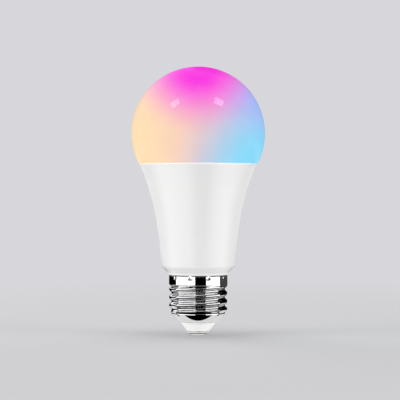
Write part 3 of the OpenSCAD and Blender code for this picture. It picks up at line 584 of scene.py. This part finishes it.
def knuckle(u):
    """Radius of the round thread at axial distance u from a crest."""
    v = np.abs(u - PITCH * np.round(u / PITCH))
    crest = CREST_R - KNUCKLE_R + np.sqrt(np.clip(KNUCKLE_R ** 2 - v ** 2, 0, None))
    root = ROOT_R + KNUCKLE_R - np.sqrt(np.clip(KNUCKLE_R ** 2 - (PITCH / 2 - v) ** 2, 0, None))
    return np.where(v < PITCH / 4, crest, root)


def smooth(t):
    """Eases from 0 to 1 as t does, and stays there."""
    t = np.clip(t, 0, 1)
    return t * t * (3 - 2 * t)


def shell_radius(z, turns):
    """Outer radius of thread and collar at height z, for an array of angles in turns."""
    start = smooth((z - THREAD_Z0 - SHEET) / RUN_IN)
    end = smooth((THREAD_Z1 - SHEET - z) / RUN_OUT)
    threaded = SHOULDER_R * (1 - start) + knuckle(z - CREST_Z - PITCH * turns) * start
    return COLLAR_R * (1 - end) + threaded * end


def crimp_depth(z, turns):
    """How far the punch marks press the collar in."""
    step = 1 / CRIMPS
    off = turns - (CRIMP_TURN - 90) / 360
    along = (off - step * np.round(off / step)) * 2 * math.pi * COLLAR_R
    apart = ((along / CRIMP_R) ** 2 + ((z - CRIMP_Z) / CRIMP_R) ** 2) ** 0.5
    return CRIMP_DEPTH * np.exp(-apart ** 3)


def cap_shell():
    """The nickel-plated screw shell, outside and inside, as one skin of rows round the axis."""
    columns = 432
    turns = np.arange(columns) / columns
    flat = np.ones(columns)
    edge = 0.1
    fine, coarse = 0.125, 0.4
    crimps_low, crimps_top, collar_top = 24.4, 26.2, 26.5
    lip = arc(8.07, SHELL_EDGE_Z + edge, edge, 215, 300, 4)
    shoulder = bend((8.1, SHELL_EDGE_Z + 0.03), (10.25, 7.5), (SHOULDER_R, THREAD_Z0), 18)
    heights = np.concatenate([
        np.arange(THREAD_Z0 + fine, THREAD_Z1, fine),
        np.linspace(THREAD_Z1, crimps_low - 0.1, 6),
        np.linspace(crimps_low, crimps_top, 19),
        [collar_top, CAP_TOP_Z - edge],
    ])
    rim = arc(COLLAR_R - edge, CAP_TOP_Z - edge, edge, 20, 90, 4)
    inner_heights = np.concatenate([
        [CAP_TOP_Z, collar_top],
        np.linspace(crimps_top, crimps_low, 10),
        np.linspace(crimps_low - 0.4, THREAD_Z1, 4),
        np.arange(THREAD_Z1 - coarse, THREAD_Z0, -coarse),
    ])
    inner_shoulder = bend((SHOULDER_R - SHEET, THREAD_Z0), (10.02, 7.76), (7.9, SHELL_EDGE_Z + 0.25), 8)
    rows = [(r * flat, z) for r, z in lip + shoulder]
    rows += [(shell_radius(z, turns) - crimp_depth(z, turns), z) for z in heights]
    rows += [(r * flat, z) for r, z in rim]
    rows += [(shell_radius(z, turns) - crimp_depth(z, turns) - SHEET, z) for z in inner_heights]
    rows += [(r * flat, z) for r, z in inner_shoulder]
    angles = 2 * math.pi * turns
    points = [
        (x, y, z * MM)
        for radii, z in rows
        for x, y in zip(radii * np.cos(angles) * MM, radii * np.sin(angles) * MM)
    ]
    faces = ring_faces(len(rows), columns, True)
    make_piece("cap_shell", points, faces, looks["nickel_plate"], ["screw_shell"])


def insulator():
    """The insulator's cone, and the disc inside the shell."""
    stem_r = 1.12
    well_r, well_z = 2.6, 7.4
    disc_r, disc_z = 10.2, 9
    grip_top = 8.6
    foot = (5.3, INSULATOR_Z)
    brim = (7.95, SHELL_EDGE_Z - 0.1)
    neck = (7.8, SHELL_EDGE_Z + 0.3)
    outline = rounded((stem_r, INSULATOR_Z), foot, brim, 0.2) + rounded(foot, brim, neck, 0.06) + [neck]
    grip = bend((7.9, SHELL_EDGE_Z + 0.33), (10.02, 7.84), (SHOULDER_R - SHEET, THREAD_Z0 + 0.08), 16)
    outline += [point for point in grip if point[1] < grip_top]
    outline += [(disc_r, disc_z), (well_r, disc_z)]
    outline += [(well_r, well_z), (stem_r, well_z), (stem_r, INSULATOR_Z)]
    lathe("insulator", outline, looks["insulator"], ["base_insulator"], 192)


def tip_contact():
    """The domed tip contact, and its stem up through the insulator."""
    stem_r = 1.1
    stem_z = 8.2
    seat_z = INSULATOR_Z - 0.05
    dome = bend((2.5, 0), (4.2, 0.25), (CONTACT_R, 1.45), 18)
    outline = [(0, 0), (1.2, 0), (2.0, 0)] + dome
    outline += rounded(dome[-1], (CONTACT_R, seat_z), (stem_r, seat_z), 0.1)
    outline += [(stem_r, seat_z)]
    outline += rounded((stem_r, seat_z), (stem_r, stem_z), (0, stem_z), 0.15) + [(0, stem_z)]
    lathe("tip_contact", outline, looks["contact_plate"], ["centre_contact"], 160)


globe()
housing()
cap_shell()
insulator()
tip_contact()


# ---- Studio ----

BACKDROP = (0.68, 0.68, 0.7072)
FLOOR_COLOUR = (0.6, 0.6, 0.616)
FLOOR_R = 0.9
FLOOR_FADE = (0.12, 0.5)
DRUM_R = 1.25
DRUM_Z = (-0.6, 1.8)
EYE = (0.0008, -0.675, 0.0003)
SOFTBOX_AIM = (0, 0, 0.06)
WINDOW_DISTANCE = 0.5

# Soft lights: name, azimuth, elevation, distance, width, height, power.
SOFTBOXES = (
    ("key_left", -74, 14, 0.9, 0.5, 0.9, 2.8),
    ("key_right", 72, 14, 0.9, 0.5, 0.9, 2.4),
    ("fill_back_left", -140, 20, 0.9, 0.5, 0.9, 2.0),
    ("fill_back_right", 140, 20, 0.9, 0.5, 0.9, 1.0),
    ("top", 0, 90, 0.9, 0.6, 0.6, 1.6),
    ("tip_left", -50, -57, 0.09, 0.03, 0.03, 0.008),
    ("tip_right", 50, -57, 0.09, 0.03, 0.03, 0.01),
)

# Profiles of the cards that gloss sees, as rows of [radius, height] in metres. Table cards lie just above
# the floor, and line cards just above them.
TABLE_Z = 0.0002
LINE_Z = 0.0004
TABLE_EDGE = ((0.25, TABLE_Z), (0.25, 0.017))
WIDE_TABLE = ((0.05, TABLE_Z),) + TABLE_EDGE
FAR_TABLE = ((0.075, TABLE_Z),) + TABLE_EDGE
TABLE_STRIP = ((0.06, TABLE_Z), (0.075, TABLE_Z))
NEAR_LINES = ((0.015, LINE_Z), (0.05, LINE_Z))
TIP_LINE = ((0.004, LINE_Z), (0.0046, LINE_Z))
EAVES = ((0.6, 0.1), (0.6, 0.24))
CEILING = ((0.45, 0.62), (0.25, 0.8))
LOW_CEILING = ((0.6, 0.3),) + CEILING
SKYLIGHT = ((0.3, 0.6), (0.01, 0.75))
SHELF = ((0.034, 0.028), (0.07, 0.028))
SHELF_COVER = ((0.03, 0.0284), (0.075, 0.0284))
FLAG = ((0.07, 0.05), (0.07, 0.135))

# Cards that only gloss sees: name, azimuth from and to, profile, strength. The table shows in the collar and
# the housing, and the eaves, ceiling and shelf in the thread. The flags keep the windows out of the thread.
CARDS = (
    ("card_left", -95, -12, WIDE_TABLE, 1.6),
    ("card_right", 31, 92, WIDE_TABLE, 1.6),
    ("card_front_floor", -12, 31, TABLE_STRIP, 1.4),
    ("card_dark_front", -12, 31, FAR_TABLE, 0.0),
    ("card_grey_right", 92, 182, WIDE_TABLE, 0.06),
    ("card_dark_left", 182, 265, WIDE_TABLE, 0.0),
    ("dark_lines", -95, 95, NEAR_LINES, 0.0),
    ("dark_spot", 0, 360, TIP_LINE, 0.1),
    ("eaves_left", -95, -12, EAVES, 1.4),
    ("eaves_right", 31, 95, EAVES, 1.4),
    ("ceiling_left", -95, -12, CEILING, 1.2),
    ("ceiling_middle", -12, 31, SKYLIGHT, 1.4),
    ("ceiling_right", 31, 95, CEILING, 1.2),
    ("ceiling_back_right", 95, 182, CEILING, 0.7),
    ("ceiling_back_left", 182, 265, LOW_CEILING, 0.7),
    ("shelf_left", 205, 265, SHELF, 1.2),
    ("shelf_cover", 200, 270, SHELF_COVER, 0.0),
    ("flag_left", -74, -30, FLAG, 0.0),
    ("flag_right", 26, 74, FLAG, 0.0),
)

# Bright cards that show as windows in the globe: name, azimuth, elevation, width, height, roll, strength.
WINDOWS = (
    ("window_left", -52, 45, 0.1, 0.115, 35, 22.0),
    ("window_right", 48, 48, 0.115, 0.105, 43, 22.0),
)


def staged(name, points, faces, shader, strength=1.0, colour=(1, 1, 1)):
    """A piece of the studio with one plain shader: emission, or a diffuse surface."""
    mesh = bpy.data.meshes.new(name)
    mesh.from_pydata(points, [], faces)
    material = bpy.data.materials.new(name)
    material.use_nodes = True
    nodes, links = material.node_tree.nodes, material.node_tree.links
    nodes.remove(nodes["Principled BSDF"])
    node = nodes.new(shader)
    node.inputs["Color"].default_value = rgb(colour)
    if "Strength" in node.inputs:
        node.inputs["Strength"].default_value = strength
    links.new(node.outputs[0], nodes["Material Output"].inputs["Surface"])
    mesh.materials.append(material)
    thing = bpy.data.objects.new(name, mesh)
    bpy.context.scene.collection.objects.link(thing)
    return thing


def seen_only_by(thing, *rays):
    """Limits a studio piece to some kinds of ray."""
    for ray in ("camera", "diffuse", "glossy", "transmission", "shadow"):
        setattr(thing, "visible_" + ray, ray in rays)
    thing.visible_volume_scatter = False


def toward(azimuth, elevation=0.0):
    """Unit direction from the bulb: azimuth 0 is the camera's side, and it grows to the right."""
    a, e = math.radians(azimuth), math.radians(elevation)
    return Vector((math.sin(a) * math.cos(e), -math.cos(a) * math.cos(e), math.sin(e)))


def reflector(name, start, end, rows, strength):
    """A curved card that only gloss sees: rows of [radius, height] swept from azimuth start to end."""
    steps = max(2, int(abs(end - start) / 3))
    directions = [toward(a) for a in np.linspace(start, end, steps + 1)]
    points = [(d.x * r, d.y * r, z) for r, z in rows for d in directions]
    faces = [
        (a + i, a + i + 1, a + steps + 2 + i, a + steps + 1 + i)
        for a in range(0, (len(rows) - 1) * (steps + 1), steps + 1)
        for i in range(steps)
    ]
    seen_only_by(staged(name, points, faces, "ShaderNodeEmission", strength), "glossy")


def window_card(name, azimuth, elevation, width, height, roll, strength):
    """A small bright card that faces the globe and shows as a window in its gloss."""
    direction = toward(azimuth, elevation)
    middle = Vector((0, 0, GLOBE_Z * MM)) + direction * WINDOW_DISTANCE
    level = direction.cross(Vector((0, 0, 1))).normalized()
    upright = level.cross(direction)
    turn = math.radians(roll)
    across = (level * math.cos(turn) + upright * math.sin(turn)) * width / 2
    up = (upright * math.cos(turn) - level * math.sin(turn)) * height / 2
    corners = [middle - across - up, middle + across - up, middle + across + up, middle - across + up]
    points = [tuple(corner) for corner in corners]
    seen_only_by(staged(name, points, [(0, 1, 2, 3)], "ShaderNodeEmission", strength), "glossy")


def softbox(name, azimuth, elevation, distance, width, height, power):
    """A soft light for everything but gloss."""
    direction = toward(azimuth, elevation)
    light = bpy.data.lights.new(name, "AREA")
    light.shape = "RECTANGLE"
    light.size, light.size_y, light.energy = width, height, power
    lamp = bpy.data.objects.new(name, light)
    bpy.context.scene.collection.objects.link(lamp)
    lamp.location = Vector(SOFTBOX_AIM) + direction * distance
    lamp.rotation_mode = "QUATERNION"
    lamp.rotation_quaternion = (-direction).to_track_quat("-Z", "Y")
    lamp.visible_glossy = False
    lamp.visible_camera = False


def disc(radius, z):
    """Points round a level disc, and its one face."""
    steps = 96
    ring = [toward(360 * i / steps) * radius for i in range(steps)]
    return [(p.x, p.y, z) for p in ring], [tuple(range(steps))]


def studio_floor():
    """A pale floor that keeps the soft shadow near the bulb and fades into the backdrop further out."""
    points, faces = disc(FLOOR_R, 0.0)
    floor = staged("studio_floor", points, faces, "ShaderNodeBsdfDiffuse", colour=FLOOR_COLOUR)
    nodes, links = floor.data.materials[0].node_tree.nodes, floor.data.materials[0].node_tree.links
    place = nodes.new("ShaderNodeTexCoord")
    away = nodes.new("ShaderNodeVectorMath")
    away.operation = "LENGTH"
    fade = nodes.new("ShaderNodeMapRange")
    fade.interpolation_type = "SMOOTHSTEP"
    fade.inputs["From Min"].default_value = FLOOR_FADE[0]
    fade.inputs["From Max"].default_value = FLOOR_FADE[1]
    far = nodes.new("ShaderNodeEmission")
    far.inputs["Color"].default_value = rgb(BACKDROP)
    blend = nodes.new("ShaderNodeMixShader")
    links.new(place.outputs["Object"], away.inputs[0])
    links.new(away.outputs["Value"], fade.inputs["Value"])
    links.new(fade.outputs["Result"], blend.inputs["Fac"])
    links.new(nodes["Diffuse BSDF"].outputs[0], blend.inputs[1])
    links.new(far.outputs[0], blend.inputs[2])
    links.new(blend.outputs[0], nodes["Material Output"].inputs["Surface"])
    seen_only_by(floor, "camera")


def table_light(depth, strength):
    """Even light from below, as from a lit table, just under the floor that only the camera sees."""
    points, faces = disc(FLOOR_R, -depth)
    seen_only_by(staged("table_light", points, faces, "ShaderNodeEmission", strength), "diffuse", "glossy")


def backdrop():
    """A plain drum behind everything that only the camera sees."""
    ring, _ = disc(DRUM_R, 0.0)
    count = len(ring)
    points = [(x, y, z) for z in DRUM_Z for x, y, _ in ring]
    faces = [(i, (i + 1) % count, count + (i + 1) % count, count + i) for i in range(count)]
    faces += [tuple(range(count)), tuple(range(count, 2 * count))]
    seen_only_by(staged("backdrop", points, faces, "ShaderNodeEmission", colour=BACKDROP), "camera")


def ambient(strength):
    """Even light from all round for matt surfaces. Gloss sees the cards instead."""
    world = bpy.data.worlds.new("studio_air")
    world.use_nodes = True
    world.node_tree.nodes["Background"].inputs["Color"].default_value = (1, 1, 1, 1)
    world.node_tree.nodes["Background"].inputs["Strength"].default_value = strength
    world.cycles_visibility.glossy = False
    world.cycles_visibility.camera = False
    bpy.context.scene.world = world


def camera():
    """A long lens level with the middle of the bulb, straight in front."""
    middle = (cad_low + cad_high) / 2
    view = bpy.data.cameras.new("camera")
    view.lens, view.sensor_width = 135, 36
    eye = bpy.data.objects.new("camera", view)
    bpy.context.scene.collection.objects.link(eye)
    eye.location = Vector((0, 0, middle.z)) + Vector(EYE)
    eye.rotation_euler = (math.radians(90), 0, 0)
    bpy.context.scene.camera = eye


def dark_card():
    """A dark card on the floor in front of the tip, which shows in the cap's shoulder."""
    left, right, near, far, z = -0.026, 0.018, -0.008, -0.06, 0.0006
    points = [(left, near, z), (right, near, z), (right, far, z), (left, far, z)]
    seen_only_by(staged("dark_card", points, [(0, 1, 2, 3)], "ShaderNodeEmission", 0.0), "glossy")


studio_floor()
backdrop()
table_light(0.0004, 0.8)
ambient(0.64)
for box in SOFTBOXES:
    softbox(*box)
for card in CARDS:
    reflector(*card)
dark_card()
for window in WINDOWS:
    window_card(*window)
camera()
bpy.context.scene.view_settings.view_transform = "Standard"
